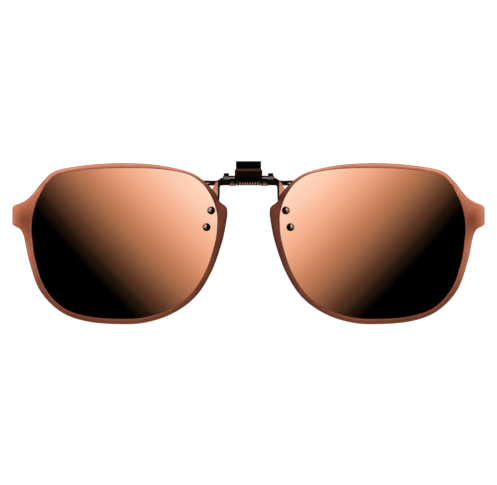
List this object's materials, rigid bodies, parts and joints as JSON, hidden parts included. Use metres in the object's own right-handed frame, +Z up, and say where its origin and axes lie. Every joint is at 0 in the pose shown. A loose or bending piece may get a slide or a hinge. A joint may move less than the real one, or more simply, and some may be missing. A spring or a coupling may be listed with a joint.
{
  "type": "clip-on sunglasses",
  "caption": "Clip-on sunglasses with mirrored bronze lenses in slim metal rims, which flip up on a sprung black clip that grips the bridge of ordinary spectacles.",
  "frame": {"origin": "centre of the grip on the wearer's own spectacles, on the centre line, midway between the upper and lower claws and level with the hinge rod", "axes": "+X towards the wearer's left, which is the viewer's right seen from the front; -Y forward, out of the fronts of the lenses; +Z up"},
  "size_m": [0.14, 0.0127, 0.0482],
  "materials": {
    "black_metal": "gloss black plated sheet steel with a warm sheen",
    "black_wire": "gloss black plated wire",
    "steel": "polished dark steel",
    "spring_steel": "drawn spring wire, dark bronze",
    "soft_sleeve": "matte black soft sleeve",
    "copper_rim": "satin copper brown metallic coat",
    "mirror_lens": "bronze mirror coat on brown tinted polycarbonate",
    "rivet_black": "gloss black plated domed head",
    "nylon": "natural nylon"
  },
  "bodies": {
    "clip_base": {"spring_box": "black_metal", "hinge_tube": "steel", "torsion_spring": "spring_steel", "lower_claw_wire_left": "black_wire", "lower_claw_wire_right": "black_wire", "lower_claw_sleeve_left": "soft_sleeve", "lower_claw_sleeve_right": "soft_sleeve"},
    "thumb_lever": {"thumb_lever": "black_metal", "upper_claw_wire": "black_wire", "upper_claw_sleeve_left": "soft_sleeve", "upper_claw_sleeve_right": "soft_sleeve"},
    "lens_carrier": {"hinge_rod": "steel", "lens_bracket_left": "black_metal", "lens_bracket_right": "black_metal", "rim_left": "copper_rim", "rim_right": "copper_rim", "lens_left": "mirror_lens", "lens_right": "mirror_lens", "rivet_upper_left": "rivet_black", "rivet_upper_right": "rivet_black", "rivet_lower_left": "rivet_black", "rivet_lower_right": "rivet_black", "washer_upper_left": "nylon", "washer_upper_right": "nylon", "washer_lower_left": "nylon", "washer_lower_right": "nylon"}
  },
  "joints": [
    {"name": "thumb_pinch", "type": "hinge", "parent": "clip_base", "child": "thumb_lever", "pos_m": [0, -0.0042, 0], "axis": [1, 0, 0], "range_deg": [0, 20], "stiffness_Nm_per_rad": 0.03, "springref_deg": -34.38, "deforming": ["torsion_spring"]},
    {"name": "lens_flip", "type": "hinge", "parent": "clip_base", "child": "lens_carrier", "pos_m": [0, -0.0042, 0], "axis": [-1, 0, 0], "range_deg": [0, 90]}
  ]
}
